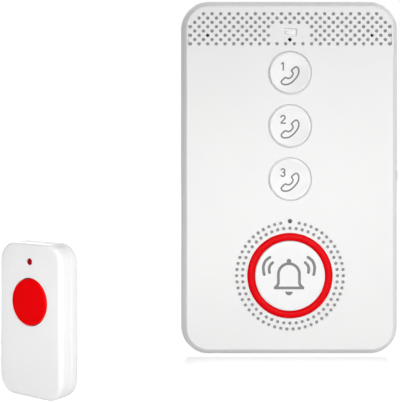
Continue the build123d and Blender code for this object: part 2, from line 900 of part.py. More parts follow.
def make_panel_parts():
    parts = {
        "front_cover": make_front_cover(),
        "rear_cover": make_rear_cover(),
        "cover_screws": make_cover_screws(),
        "main_board": make_board(),
        "control_chips": make_control_chips(),
        "board_leds": make_leds(),
        "status_window": make_status_window(),
        "alarm_indicator": make_indicator(),
        "speaker_mesh": make_speaker_mesh(),
        "speaker_frame": make_speaker_frame(),
        "speaker_cone": make_speaker_cone(),
        "microphone": make_microphone(),
        "microphone_gasket": make_microphone_gasket(),
        "battery": make_battery(),
        "battery_connector": make_battery_connector(),
        "sim_socket": make_sim_socket(),
        "radio_module": make_radio_module(),
        "antenna": make_antenna(),
        "usb_socket": make_usb_socket(),
        "power_switch_body": make_power_switch_body(),
        "power_switch": make_power_switch(),
        "sos_ring": make_sos_ring(),
        "light_diffuser": make_light_diffuser(),
        "sos_button": make_sos_button(),
        "sos_switch": make_switch(sos_z, sos_switch_width, sos_plunger_width),
        "sos_plunger": make_plunger(sos_z, sos_plunger_width, sos_travel),
    }
    for number, z in enumerate(call_heights(), start=1):
        parts[f"call_button_{number}"] = make_call_button(z)
        parts[f"call_switch_{number}"] = make_switch(z, call_switch_width, call_plunger_width)
        parts[f"call_plunger_{number}"] = make_plunger(z, call_plunger_width, call_travel)
    return parts


def make_pendant_parts():
    place = pendant_place()
    pieces = {
        "pendant_front": make_pendant_front(),
        "pendant_rear": make_pendant_rear(),
        "pendant_board": make_pendant_board(),
        "pendant_switch": make_pendant_switch(),
        "pendant_plunger": make_pendant_plunger(),
        "pendant_button": make_pendant_button(),
        "pendant_lens": make_pendant_lens(),
        "pendant_cell": make_pendant_cell(),
        "pendant_cell_clip": make_pendant_clip(),
    }
    return {name: place * piece for name, piece in pieces.items()}


def main():
    os.makedirs("parts", exist_ok=True)
    parts = make_panel_parts() | make_pendant_parts()
    for name, shape in parts.items():
        shape.label = name
        export_step(shape, f"parts/{name}.step")


main()
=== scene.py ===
import json
import math

import bmesh
import bpy
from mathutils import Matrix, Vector


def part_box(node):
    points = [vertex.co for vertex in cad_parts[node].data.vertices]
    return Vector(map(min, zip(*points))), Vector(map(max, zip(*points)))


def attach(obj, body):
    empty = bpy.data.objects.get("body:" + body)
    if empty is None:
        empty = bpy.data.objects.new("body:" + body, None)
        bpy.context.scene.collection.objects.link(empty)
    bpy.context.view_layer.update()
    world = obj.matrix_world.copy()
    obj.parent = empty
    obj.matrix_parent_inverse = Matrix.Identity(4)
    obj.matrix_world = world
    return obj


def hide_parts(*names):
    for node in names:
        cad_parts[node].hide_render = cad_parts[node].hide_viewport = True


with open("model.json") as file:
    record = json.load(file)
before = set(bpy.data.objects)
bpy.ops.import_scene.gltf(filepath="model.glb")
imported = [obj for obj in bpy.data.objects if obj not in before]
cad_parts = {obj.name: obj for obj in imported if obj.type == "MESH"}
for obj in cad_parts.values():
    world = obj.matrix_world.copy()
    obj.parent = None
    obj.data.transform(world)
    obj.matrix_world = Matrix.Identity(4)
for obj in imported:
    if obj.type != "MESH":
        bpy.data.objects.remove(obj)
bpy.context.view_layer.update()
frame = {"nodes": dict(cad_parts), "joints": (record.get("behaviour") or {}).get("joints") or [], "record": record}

MM = 0.001

# The part's own sizes that no box of a node gives, in millimetres
FACE_THICKNESS = 2.0
COVER_DEPTH = 13.0
RIM_WIDTH = 2.25
RIM_DEPTH = 3.2
CORNER = 11.0
HALF_PITCH = 1.708
ROW_PITCH = 1.69
GRILLE_ROWS = 8
GRILLE_MARGIN = 3.3
CORNER_SKIP = 3
WINDOW_ROWS = 4.29
WINDOW_SIZE = (5.2, 3.0)
WINDOW_CLEAR = (8.5, 3.4)
MICROPHONE_ROW = 6
INNER_DOTS, INNER_RADIUS = 48, 18.75
OUTER_DOTS, OUTER_RADIUS = 54, 21.05
CALL_RADIUS = 8.1
CALL_HOLE = 8.5
SOS_RADIUS = 13.75
RING_INNER, RING_OUTER = 13.9, 16.8
PENDANT_WIDTH, PENDANT_HEIGHT, PENDANT_DEPTH = 28.0, 50.5, 8.5
PENDANT_CORNER = 6.4
PENDANT_SEAM = 5.0
PENDANT_BUTTON_Z = 31.3
PENDANT_BUTTON_RADIUS = 7.6
PENDANT_HOLE = 7.9
PENDANT_PROUD = 0.5
PENDANT_LENS_Z = 44.5
PENDANT_LENS_RADIUS = 1.08

# How many points draw each kind of circle, and how many steps a quarter turn of a corner has
DOT_STEPS = 16
INDICATOR_STEPS = 24
SMALL_DISC_STEPS = 32
DISC_STEPS = 96
RING_STEPS = 128
CORNER_STEPS = 16
SMALL_CORNER_STEPS = 6

# Angle in degrees above which an edge stays sharp, for a moulding, the ring, and the cloth with the painted shade
# in the dimples
SHARP_ANGLE = 32
RING_SHARP_ANGLE = 50
CLOTH_SHARP_ANGLE = 60

# Finish details, in millimetres
DOT_RADIUS = 0.67
DOT_ROUND = 0.14
DIMPLE_RADIUS = 0.66
DIMPLE_DEPTH = 1.6
DIMPLE_BOWL = ((0.95, 0.8), (0.6, 0.98))  # shares of the radius and of the depth
# The cloth pieces: real acoustic cloth in the grille's holes, and grey discs of the same cloth in the blind
# dimples of the two circles, which are painted shade
CLOTH_DEPTH = 0.5
CLOTH_OVERLAP = 0.02
CLOTH_EDGE_DROP = 0.1
CLOTH_CREST = 0.6  # share of a hole's radius
CLOTH_CREST_DROP = 0.02
SOUND_HOLE_COLUMN = 19
SAME_PLACE = 0.1  # two points closer than this are one
MICROPHONE_RADIUS = 0.76
FLAT_STRIP = 0.12
FACE_STRIP = 0.3
RIM_ROUND = 0.35
RIM_TURN = ((0.2, 0.02), (0.05, 0.07), (-0.12, 0.2))  # inset past RIM_WIDTH, depth
RIM_FOOT = ((0.16, -0.22), (0.03, 0.12), (0, 0.5))  # inset, depth past RIM_DEPTH
SEAM_EDGE = ((0, -0.25), (0.06, -0.08), (0.2, 0), (1.9, 0))  # inset, depth past COVER_DEPTH
CALL_LIP = 0.4
CALL_SKIRT = 0.3
SKIRT_DEPTH = 0.75
RING_LIP = 0.2
RING_GAP = 0.05
RING_HIGH = 1.15
RING_SECTION_STEPS = 14
RING_ROUNDNESS = 0.8  # the power that turns a half ellipse into the ring's section
INDICATOR_HOLE = 0.85
SIDE_LIP = 0.15
SIDE_LIP_BEND = 0.3  # share of the lip
WALL_STRIP = 0.3
USB_ROOM = 0.5
USB_CORNER = 1.3
KNOB_TRAVEL = 2.0
KNOB_ROOM = 0.3
KNOB_CORNER = 0.3
WINDOW_LIP = 0.25
WINDOW_BEND = ((1, 0), (0.5, 0.15), (0.15, 0.5), (0, 1))  # outwards and inwards, shares of the lip
WINDOW_CORNER = 0.85
WINDOW_LEAST_CORNER = 0.3
WINDOW_LENS_TOP = 0.03
WINDOW_LENS = (  # outwards from the window's size, depth
    (-0.95, 0.03), (-0.75, 0.12), (-0.62, 0.3), (-0.56, 0.85), (0.04, 0.9), (0.04, 2.0),
)
CAP_ROUND = 0.5
CAP_DISH = -0.9
CAP_RINGS = 8
CAP_EDGE_START = -75  # degrees
CAP_EDGE_STEPS = 5
CAP_BACK = 2.6
SOS_DISH = -0.2
SOS_RINGS = 12
PENDANT_ROUND = 1.45
PENDANT_ROUND_STEPS = 8
PENDANT_FACE_STRIP = 0.4
PENDANT_SEAM_EDGE = ((0, -0.15), (0.1, -0.03), (0.25, 0), (1.1, 0))  # inset, depth past the seam
PENDANT_WALL = 1.2
PENDANT_LIP = ((0.25, 0), (0.12, 0), (0.04, 0.03), (0, 0.12))  # outwards, depth
PENDANT_CROWN = 0.12
PENDANT_CAP_ROUND = 0.45
PENDANT_LENS_GAP = 0.05
PENDANT_LENS_DOME = ((0, -0.12), (0.5, -0.1), (0.9, 0), (1, 0.15))  # share of the radius, depth
SCREW_INSET = 7.5
SCREW_LOW = 9.0
SCREW_DROP = 23.0
SCREW_HEAD = 2.3
SCREW_HEAD_DEPTH = 1.1
SCREW_SHANK = 1.2
SCREW_EDGE = ((-0.45, 0), (-0.25, 0), (-0.07, 0.08), (0, 0.25))  # outwards from SCREW_HEAD, depth
CROSS_ARM = 0.55  # share of the head's radius
CROSS_HALF = 0.28
CROSS_TAPER = ((1, 0), (0.75, 0.7))  # share of the cross's size, depth
CROSS_DEPTH = 0.75
PRINT_LIFT = 0.012
PRINT_STEP = 0.6
BLOB_STEPS = 16
CURVE_STEPS = 6

# Camera: the place that gives the photograph's view, in metres, and its lens
IMAGE_LONG_SIDE = 403
SENSOR = 36.0
FOCAL_PIXELS = 843.2
CAMERA_PLACE = (-0.03548, -0.34156, 0.08105)
CAMERA_SHIFT_Y = -0.128
CLIP_START = 0.01

# Noise scale, bump strength and bump distance of each kind of surface
PLASTIC_GRAIN = (4200.0, 0.12, 0.00003)
METAL_GRAIN = (2600.0, 0.15, 0.00002)
LENS_GRAIN = (1800.0, 0.05, 0.00002)
GRAIN_DETAIL = 3.0

# Noise scale of the slow drift in colour, its detail and the part of the noise that it spans
PLASTIC_DRIFT = 35.0
METAL_DRIFT = 300.0
LENS_DRIFT = 200.0
DRIFT_DETAIL = 2.0
DRIFT_SPAN = (0.3, 0.7)

# Metal: how much darker its dark tone is, and the shares of its roughness that it wanders between
METAL_SHADE = 0.85
METAL_GLOSS_SPREAD = (0.8, 1.2)

# Lenses: how much darker their dark tone is, and how much light goes in and how far in metres
LENS_SHADE = 0.94
LENS_DEPTH_SHARE = 0.2
LENS_DEPTH_SCALE = 0.001

# The cloth's threads: scale of their waves, two tones, bump strength and distance, roughness
THREAD_SCALE = 900.0
THREAD_DARK = (0.15, 0.15, 0.152)
THREAD_LIGHT = (0.36, 0.36, 0.362)
THREAD_BUMP = (0.4, 0.00005)
THREAD_ROUGHNESS = 0.8


def new_material(name):
    material = bpy.data.materials.new(name)
    material.use_nodes = True
    nodes = material.node_tree.nodes
    return material, nodes, material.node_tree.links, nodes["Principled BSDF"]


def new_math(nodes, operation):
    node = nodes.new("ShaderNodeMath")
    node.operation = operation
    return node


def new_range(nodes, to_min, to_max, from_min=0.0, from_max=1.0):
    """A node that maps one span of values to another."""
    node = nodes.new("ShaderNodeMapRange")
    node.inputs["From Min"].default_value = from_min
    node.inputs["From Max"].default_value = from_max
    node.inputs["To Min"].default_value = to_min
    node.inputs["To Max"].default_value = to_max
    return node


def new_noise(nodes, links, place, scale, detail):
    """Noise in the object's own space."""
    noise = nodes.new("ShaderNodeTexNoise")
    noise.inputs["Scale"].default_value = scale
    noise.inputs["Detail"].default_value = detail
    links.new(place.outputs["Object"], noise.inputs["Vector"])
    return noise


def add_bump(nodes, links, shader, height, strength, distance):
    """Bump on the surface from an output that gives its height."""
    bump = nodes.new("ShaderNodeBump")
    bump.inputs["Strength"].default_value = strength
    bump.inputs["Distance"].default_value = distance
    links.new(height, bump.inputs["Height"])
    links.new(bump.outputs["Normal"], shader.inputs["Normal"])


def add_grain(nodes, links, shader, scale, strength, distance):
    """Fine moulded texture in the bump; returns the node of the coordinates."""
    place = nodes.new("ShaderNodeTexCoord")
    noise = new_noise(nodes, links, place, scale, GRAIN_DETAIL)
    add_bump(nodes, links, shader, noise.outputs["Fac"], strength, distance)
    return place


def add_tone(nodes, links, shader, place, scale, dark, light):
    """Slow drift of the base colour between two tones; returns its noise."""
    noise = new_noise(nodes, links, place, scale, DRIFT_DETAIL)
    ramp = nodes.new("ShaderNodeValToRGB")
    for element, position, colour in zip(ramp.color_ramp.elements, DRIFT_SPAN, (dark, light)):
        element.position = position
        element.color = (*colour, 1)
    links.new(noise.outputs["Fac"], ramp.inputs["Fac"])
    links.new(ramp.outputs["Color"], shader.inputs["Base Color"])
    return noise


def add_gloss_drift(nodes, links, shader, noise, low, high):
    """Roughness that wanders between two values with the same noise."""
    spread = new_range(nodes, low, high)
    links.new(noise.outputs["Fac"], spread.inputs["Value"])
    links.new(spread.outputs["Result"], shader.inputs["Roughness"])


def plastic(name, dark, light, rough, specular=0.5):
    """Moulded plastic between two tones and two roughnesses."""
    material, nodes, links, shader = new_material(name)
    place = add_grain(nodes, links, shader, *PLASTIC_GRAIN)
    noise = add_tone(nodes, links, shader, place, PLASTIC_DRIFT, dark, light)
    add_gloss_drift(nodes, links, shader, noise, *rough)
    shader.inputs["Specular IOR Level"].default_value = specular
    return material


def metal(name, colour, rough):
    material, nodes, links, shader = new_material(name)
    shader.inputs["Metallic"].default_value = 1.0
    place = add_grain(nodes, links, shader, *METAL_GRAIN)
    tone = tuple(METAL_SHADE * c for c in colour)
    noise = add_tone(nodes, links, shader, place, METAL_DRIFT, tone, colour)
    add_gloss_drift(nodes, links, shader, noise, *(rough * share for share in METAL_GLOSS_SPREAD))
    return material


def lens(name, colour, rough, coat, specular=0.5):
    """A lens that lets a little light in under its surface."""
    material, nodes, links, shader = new_material(name)
    shader.inputs["Specular IOR Level"].default_value = specular
    place = add_grain(nodes, links, shader, *LENS_GRAIN)
    tone = tuple(LENS_SHADE * c for c in colour)
    add_tone(nodes, links, shader, place, LENS_DRIFT, tone, colour)
    shader.inputs["Roughness"].default_value = rough
    shader.inputs["Subsurface Weight"].default_value = LENS_DEPTH_SHARE
    shader.inputs["Subsurface Scale"].default_value = LENS_DEPTH_SCALE
    shader.inputs["Coat Weight"].default_value = coat
    return material


def mesh_cloth(name):
    """Woven acoustic mesh: two crossed waves make the threads, in colour and in bump."""
    material, nodes, links, shader = new_material(name)
    place = nodes.new("ShaderNodeTexCoord")
    threads = []
    for direction in ("X", "Z"):
        wave = nodes.new("ShaderNodeTexWave")
        wave.bands_direction = direction
        wave.inputs["Scale"].default_value = THREAD_SCALE
        links.new(place.outputs["Object"], wave.inputs["Vector"])
        threads.append(wave)
    weave = new_math(nodes, "MAXIMUM")
    links.new(threads[0].outputs["Fac"], weave.inputs[0])
    links.new(threads[1].outputs["Fac"], weave.inputs[1])
    ramp = nodes.new("ShaderNodeValToRGB")
    ramp.color_ramp.elements[0].color = (*THREAD_DARK, 1)
    ramp.color_ramp.elements[1].color = (*THREAD_LIGHT, 1)
    links.new(weave.outputs["Value"], ramp.inputs["Fac"])
    links.new(ramp.outputs["Color"], shader.inputs["Base Color"])
    add_bump(nodes, links, shader, weave.outputs["Value"], *THREAD_BUMP)
    shader.inputs["Roughness"].default_value = THREAD_ROUGHNESS
    return material


WHITE = (0.86, 0.86, 0.855)
SOFT_WHITE = (0.84, 0.84, 0.838)
MATERIALS = {
    "white_housing": plastic("satin_white", SOFT_WHITE, WHITE, (0.42, 0.5)),
    "white_button": plastic("button_white", (0.85, 0.85, 0.85), (0.87, 0.87, 0.868), (0.3, 0.36)),
    # Painted light: the pendant's white is made lighter than the panel's to stand in for the stronger light that
    # falls on the pendant; its gloss is real
    "pendant_housing": plastic(
        "polished_white_painted_light", (0.945, 0.945, 0.945), (0.955, 0.955, 0.955), (0.22, 0.28)
    ),
    "red_plastic": plastic(
        "bright_red", (0.79, 0.001, 0.004), (0.83, 0.002, 0.006), (0.3, 0.36), specular=0.05
    ),
    "red_lens": lens("dark_red_lens", (0.34, 0.001, 0.006), 0.4, coat=0.0, specular=0.05),
    "clear_lens": lens("frosted_lens", (0.86, 0.87, 0.88), 0.25, coat=0.4),
    "smoked_lens": lens("smoked_lens", (0.14, 0.14, 0.144), 0.4, coat=0.0, specular=0.05),
    "grey_mesh": mesh_cloth("acoustic_mesh"),
    "dark_cone": plastic("paper_cone", (0.01, 0.01, 0.01), (0.02, 0.02, 0.02), (0.7, 0.85)),
    "black_plastic": plastic("black_moulding", (0.02, 0.02, 0.022), (0.035, 0.035, 0.038), (0.4, 0.5)),
    "screw_steel": metal("plated_steel", (0.62, 0.62, 0.63), 0.3),
    "circuit_board": plastic("solder_mask", (0.01, 0.09, 0.04), (0.015, 0.12, 0.05), (0.35, 0.45)),
    "battery_wrap": plastic("shrink_film", (0.03, 0.05, 0.2), (0.04, 0.07, 0.26), (0.25, 0.35)),
    "rubber": plastic("dark_rubber", (0.02, 0.02, 0.02), (0.03, 0.03, 0.03), (0.7, 0.8)),
}
STATUS_LENS = lens("status_lens", (0.9, 0.9, 0.9), 0.3, coat=0.25)
PENDANT_RED = plastic(
    "clear_red", (0.86, 0.001, 0.002), (0.9, 0.001, 0.003), (0.3, 0.36), specular=0.02
)
PRINT_GREY = plastic("grey_print", (0.19, 0.19, 0.192), (0.22, 0.22, 0.222), (0.5, 0.6))
DARK_PRINT = plastic("dark_print", (0.13, 0.13, 0.133), (0.16, 0.16, 0.162), (0.5, 0.6))

node_slots = {part["node"]: part["material_slot"] for part in frame["record"]["subparts"]}
for node, obj in frame["nodes"].items():
    obj.data.materials.clear()
    obj.data.materials.append(MATERIALS[node_slots[node]])


def circle(x, z, radius, y, steps):
    """Points of a ring about an axis along Y, in millimetres."""
    turns = [2 * math.pi * i / steps for i in range(steps)]
    return [(x + radius * math.sin(a), y, z + radius * math.cos(a)) for a in turns]


def rounded(half_width, half_height, radius, centre_z, y, corner_steps=CORNER_STEPS):
    """Points of an upright rounded rectangle in the plane at y, centred on x = 0."""
    points = []
    corners = ((1, 1, 0), (-1, 1, 90), (-1, -1, 180), (1, -1, 270))
    for sign_x, sign_z, start in corners:
        for i in range(corner_steps + 1):
            a = math.radians(start + 90 * i / corner_steps)
            x = sign_x * (half_width - radius) + radius * math.cos(a)
            z = centre_z + sign_z * (half_height - radius) + radius * math.sin(a)
            points.append((x, y, z))
    return points


def add_loop(bm, points):
    return [bm.verts.new(Vector(p) * MM) for p in points]


def bridge(bm, first, second):
    """Quads between two closed loops of vertices of equal length."""
    count = len(first)
    for i in range(count):
        j = (i + 1) % count
        bm.faces.new((first[i], first[j], second[j], second[i]))


def loft(bm, loops):
    """Quads between neighbouring loops of equal length; returns the vertex loops."""
    made = [add_loop(bm, points) for points in loops]
    for first, second in zip(made, made[1:]):
        bridge(bm, first, second)
    return made


def cap_end(bm, loop, centre):
    """A fan of triangles that closes a loop."""
    middle = bm.verts.new(Vector(centre) * MM)
    count = len(loop)
    for i in range(count):
        bm.faces.new((loop[i], loop[(i + 1) % count], middle))


def add_object(name, data):
    """A new object in the scene."""
    obj = bpy.data.objects.new(name, data)
    bpy.context.scene.collection.objects.link(obj)
    return obj


def add_mesh(name, bm, material):
    """A new object from a mesh that is still being built, which it frees."""
    mesh = bpy.data.meshes.new(name)
    bm.to_mesh(mesh)
    bm.free()
    mesh.materials.append(material)
    return add_object(name, mesh)


def finish_mesh(name, bm, material, body, sharp_angle=SHARP_ANGLE):
    """A smooth-shaded piece with its normals outwards and its material, on its body."""
    bmesh.ops.recalc_face_normals(bm, faces=bm.faces)
    obj = add_mesh(name, bm, material)
    for polygon in obj.data.polygons:
        polygon.use_smooth = True
    obj.data.set_sharp_from_angle(angle=math.radians(sharp_angle))
    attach(obj, body)
    return obj


def box_mm(node):
    low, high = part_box(node)
    return Vector(low) / MM, Vector(high) / MM


def middle_z(node):
    low, high = box_mm(node)
    return (low.z + high.z) / 2


def arc(centre_r, centre_y, radius, start, end, steps):
    """Profile points (r, y) on an arc, angles in degrees: 0 points outwards, -90 to the front."""
    points = []
    for i in range(steps + 1):
        a = math.radians(start + (end - start) * i / steps)
        points.append((centre_r + radius * math.cos(a), centre_y + radius * math.sin(a)))
    return points


# The call panel's sizes, read from the frame
cover_low, cover_high = box_mm("front_cover")
half_width = cover_high.x
panel_height = cover_high.z
front_y = box_mm("speaker_mesh")[0].y - FACE_THICKNESS
sos_z = middle_z("sos_plunger")
call_z = [middle_z(f"call_plunger_{number}") for number in (1, 2, 3)]
window_z = middle_z("status_window")
indicator_z = middle_z("alarm_indicator")
grille_top = window_z + WINDOW_ROWS * ROW_PITCH


def grille_points():
    """Centres of the grille's holes, in the same pattern as the CAD cover's."""
    columns = int((half_width - GRILLE_MARGIN) / HALF_PITCH)
    points = []
    for row in range(GRILLE_ROWS):
        last = min(columns, columns - CORNER_SKIP + row)
        last -= (last - row) % 2
        z = grille_top - row * ROW_PITCH
        for column in range(-last, last + 1, 2):
            x = column * HALF_PITCH
            if abs(x) > WINDOW_CLEAR[0] or abs(z - window_z) > WINDOW_CLEAR[1]:
                points.append((x, z))
    return points


def ring_points():
    """Centres of the dimples in the two circles; the outer one leaves room for the indicator."""
    inner = [(INNER_RADIUS, i * 2 * math.pi / INNER_DOTS) for i in range(INNER_DOTS)]
    outer = [(OUTER_RADIUS, (i + 0.5) * 2 * math.pi / OUTER_DOTS) for i in range(1, OUTER_DOTS - 1)]
    return [(r * math.sin(a), sos_z + r * math.cos(a)) for r, a in inner + outer]


def is_sound_hole(x, z):
    """The two holes of the grille that have no cloth behind them."""
    row_z = grille_top - (MICROPHONE_ROW - 1) * ROW_PITCH
    column_x = SOUND_HOLE_COLUMN * HALF_PITCH
    return abs(abs(x) - column_x) < SAME_PLACE and abs(z - row_z) < SAME_PLACE


def lip_profile(radius, round_radius):
    """A hole's flat strip and rounded lip, as (radius, y) pairs from the flat face inwards."""
    lip = [
        (radius + round_radius * (1 - math.sin(t)), front_y + round_radius * (1 - math.cos(t)))
        for t in (0, math.pi / 6, math.pi / 3, math.pi / 2)
    ]
    return [(radius + round_radius + FLAT_STRIP, front_y)] + lip


def hole_loops(x, z, radius, round_radius, steps):
    """Rings of one round hole, from the flat face to the back of the face."""
    profile = lip_profile(radius, round_radius) + [(radius, front_y + FACE_THICKNESS)]
    return [circle(x, z, r, y, steps) for r, y in profile]


def add_dimple(bm, x, z):
    """A blind round dimple with a dished floor; returns its outer ring."""
    profile = lip_profile(DIMPLE_RADIUS, DOT_ROUND)
    profile += [(r * DIMPLE_RADIUS, front_y + deep * DIMPLE_DEPTH) for r, deep in DIMPLE_BOWL]
    loops = loft(bm, [circle(x, z, r, y, DOT_STEPS) for r, y in profile])
    cap_end(bm, loops[-1], (x, front_y + DIMPLE_DEPTH, z))
    return loops[0]


def window_loop(out, corner, deep):
    """The status window's outline, grown outwards, at a depth behind the face."""
    half_x, half_z = WINDOW_SIZE[0] / 2 + out, WINDOW_SIZE[1] / 2 + out
    return rounded(half_x, half_z, corner, window_z, front_y + deep, SMALL_CORNER_STEPS)


def window_loops():
    """Rings of the status window's opening, from the front inwards."""
    profile = [(FLAT_STRIP + WINDOW_LIP, 0)]
    profile += [(WINDOW_LIP * out, WINDOW_LIP * deep) for out, deep in WINDOW_BEND]
    profile.append((0, FACE_THICKNESS))
    return [window_loop(RING_GAP + out, WINDOW_CORNER + out, deep) for out, deep in profile]


def panel_rim_loops():
    """The slanted rim and the side wall, from the flat face back to the seam."""
    profile = [(RIM_WIDTH + RIM_ROUND + FACE_STRIP, 0), (RIM_WIDTH + RIM_ROUND, 0)]
    profile += [(RIM_WIDTH + inset, deep) for inset, deep in RIM_TURN]
    profile += [(inset, RIM_DEPTH + deep) for inset, deep in RIM_FOOT]
    profile += [(inset, COVER_DEPTH + deep) for inset, deep in SEAM_EDGE]
    half_z = panel_height / 2
    return [
        rounded(half_width - inset, half_z - inset, CORNER - inset, half_z, front_y + deep)
        for inset, deep in profile
    ]


# The last of the rim's loops, where the plain side wall starts
WALL_LOOP = 1 + len(RIM_TURN) + len(RIM_FOOT)


def fill_between(bm, borders, normal):
    """Faces of a flat region from its outer border and the borders of its holes."""
    edges = []
    for loop in borders:
        for i, vert in enumerate(loop):
            edges.append(bm.edges.get((vert, loop[(i + 1) % len(loop)])))
    bmesh.ops.triangle_fill(bm, edges=edges, use_beauty=True, normal=Vector(normal))


def side_opening(bm, centre_y, centre_z, size_y, size_z, round_radius):
    """An opening in the right side wall, from a softly rounded lip inwards; returns its outer loop."""
    bend = SIDE_LIP * SIDE_LIP_BEND
    loops = []
    for out, deep in ((SIDE_LIP, 0), (bend, bend), (0, SIDE_LIP), (0, FACE_THICKNESS)):
        half_y, half_z = size_y / 2 + out, size_z / 2 + out
        flat = rounded(half_y, half_z, round_radius + out, centre_z, 0, SMALL_CORNER_STEPS)
        loops.append([(half_width - deep, centre_y + across, up) for across, _, up in flat])
    return loft(bm, loops)[0]


def open_side_wall(bm, front_loop, rear_loop):
    """Openings for the charging socket and the power switch in the right side wall.

    A narrow strip inside the wall's border keeps its shading flat.
    """
    corners = (front_loop[-1], front_loop[0], rear_loop[0], rear_loop[-1])
    wall = next(f for f in corners[0].link_faces if all(v in f.verts for v in corners))
    bm.faces.remove(wall)
    usb_low, usb_high = box_mm("usb_socket")
    knob_low, knob_high = box_mm("power_switch")
    usb = side_opening(
        bm,
        (usb_low.y + usb_high.y) / 2,
        (usb_low.z + usb_high.z) / 2,
        usb_high.y - usb_low.y + 2 * USB_ROOM,
        usb_high.z - usb_low.z + 2 * USB_ROOM,
        USB_CORNER,
    )
    slot = side_opening(
        bm,
        (knob_low.y + knob_high.y) / 2,
        (knob_low.z + knob_high.z + KNOB_TRAVEL) / 2,
        knob_high.y - knob_low.y + 2 * KNOB_ROOM,
        knob_high.z - knob_low.z + KNOB_TRAVEL + 2 * KNOB_ROOM,
        KNOB_CORNER,
    )
    middle = sum((v.co for v in corners), Vector()) / len(corners)
    inner = []
    for vert in corners:
        step_y = math.copysign(WALL_STRIP * MM, middle.y - vert.co.y)
        step_z = math.copysign(WALL_STRIP * MM, middle.z - vert.co.z)
        inner.append(bm.verts.new(vert.co + Vector((0, step_y, step_z))))
    bridge(bm, corners, inner)
    fill_between(bm, [inner, usb, slot], (1, 0, 0))


def make_front_cover():
    """The cover's whole outer skin, with every hole, dimple and opening."""
    bm = bmesh.new()
    rim = loft(bm, panel_rim_loops())
    open_side_wall(bm, rim[WALL_LOOP], rim[WALL_LOOP + 1])
    borders = [rim[0]]
    for x, z in grille_points():
        borders.append(loft(bm, hole_loops(x, z, DOT_RADIUS, DOT_ROUND, DOT_STEPS))[0])
    microphone_z = grille_top - MICROPHONE_ROW * ROW_PITCH
    borders.append(loft(bm, hole_loops(0, microphone_z, MICROPHONE_RADIUS, DOT_ROUND, DOT_STEPS))[0])
    borders += [add_dimple(bm, x, z) for x, z in ring_points()]
    for z in call_z:
        borders.append(loft(bm, hole_loops(0, z, CALL_HOLE, CALL_LIP, DISC_STEPS))[0])
    borders.append(loft(bm, hole_loops(0, sos_z, RING_OUTER + RING_GAP, RING_LIP, DISC_STEPS))[0])
    borders.append(loft(bm, hole_loops(0, indicator_z, INDICATOR_HOLE, DOT_ROUND, INDICATOR_STEPS))[0])
    borders.append(loft(bm, window_loops())[0])
    fill_between(bm, borders, (0, -1, 0))
    return finish_mesh("cover_moulding", bm, MATERIALS["white_housing"], "panel")


def make_cloth_and_dimple_shade():
    """Grey acoustic cloth pressed into the grille's holes, and the same cloth as grey discs of painted shade
    inside each blind dimple.
    """
    bm = bmesh.new()
    # The grey discs in the blind dimples of the two circles are painted shade; in the grille's holes the cloth is
    # real
    for x, z in grille_points() + ring_points():
        if is_sound_hole(x, z):
            continue
        profile = (
            (DOT_RADIUS + CLOTH_OVERLAP, CLOTH_EDGE_DROP),
            (DOT_RADIUS * CLOTH_CREST, CLOTH_CREST_DROP),
        )
        bulge = [circle(x, z, r, front_y + CLOTH_DEPTH + drop, DOT_STEPS) for r, drop in profile]
        cap_end(bm, loft(bm, bulge)[-1], (x, front_y + CLOTH_DEPTH, z))
    finish_mesh("grille_cloth_and_dimple_shade", bm, MATERIALS["grey_mesh"], "panel", CLOTH_SHARP_ANGLE)


def turned(name, x, z, profile, material, body, steps=DISC_STEPS):
    """A round piece about an axis along Y from (radius, y) pairs; its ends at radius 0 are closed."""
    bm = bmesh.new()
    inner = [p for p in profile if p[0] > 0]
    loops = loft(bm, [circle(x, z, r, y, steps) for r, y in inner])
    if profile[0][0] == 0:
        cap_end(bm, loops[0], (x, profile[0][1], z))
    if profile[-1][0] == 0:
        cap_end(bm, loops[-1], (x, profile[-1][1], z))
    return finish_mesh(name, bm, material, body)


def crown_y(radius, distance, top_y, crown):
    """Depth of a slightly domed or dished cap's face at a distance from its axis."""
    return top_y + crown * (distance / radius) ** 2


def cap_profile(radius, top_y, crown, edge, back_y, rings=CAP_RINGS):
    """Profile of a button cap: a shallow dome or dish, a rounded edge and a straight wall."""
    flat = radius - edge
    distances = [flat * i / rings for i in range(rings + 1)]
    profile = [(distance, crown_y(flat, distance, top_y, crown)) for distance in distances]
    profile += arc(flat, top_y + crown + edge, edge, CAP_EDGE_START, 0, CAP_EDGE_STEPS)
    profile += [(radius, back_y), (0, back_y)]
    return profile


def ribbon(bm, points, width, lift):
    """A flat printed line through points (x, z), with round ends; lift gives the surface's y."""
    count = len(points)
    left, right = [], []
    for i, (x, z) in enumerate(points):
        before = points[max(i - 1, 0)]
        after = points[min(i + 1, count - 1)]
        dx, dz = after[0] - before[0], after[1] - before[1]
        length = math.hypot(dx, dz)
        nx, nz = -dz / length * width / 2, dx / length * width / 2
        left.append((x + nx, z + nz))
        right.append((x - nx, z - nz))
    verts = [[bm.verts.new(Vector((x, lift(x, z), z)) * MM) for x, z in side] for side in (left, right)]
    for i in range(count - 1):
        bm.faces.new((verts[0][i], verts[0][i + 1], verts[1][i + 1], verts[1][i]))
    for x, z in (points[0], points[-1]):
        blob(bm, x, z, width / 2, lift)


def blob(bm, x, z, radius, lift, start=0, end=360):
    """A filled printed disc, or part of one between two angles."""
    outline = []
    full = end - start >= 360
    for i in range(BLOB_STEPS if full else BLOB_STEPS + 1):
        a = math.radians(start + (end - start) * i / BLOB_STEPS)
        px, pz = x + radius * math.cos(a), z + radius * math.sin(a)
        outline.append(bm.verts.new(Vector((px, lift(px, pz), pz)) * MM))
    bm.faces.new(outline)


def between(a, b, c, d, t):
    """One coordinate of a Catmull-Rom curve, at a share t of the way from b to c."""
    square = (2 * a - 5 * b + 4 * c - d) * t * t
    cube = (3 * b - a - 3 * c + d) * t**3
    return 0.5 * (2 * b + (c - a) * t + square + cube)


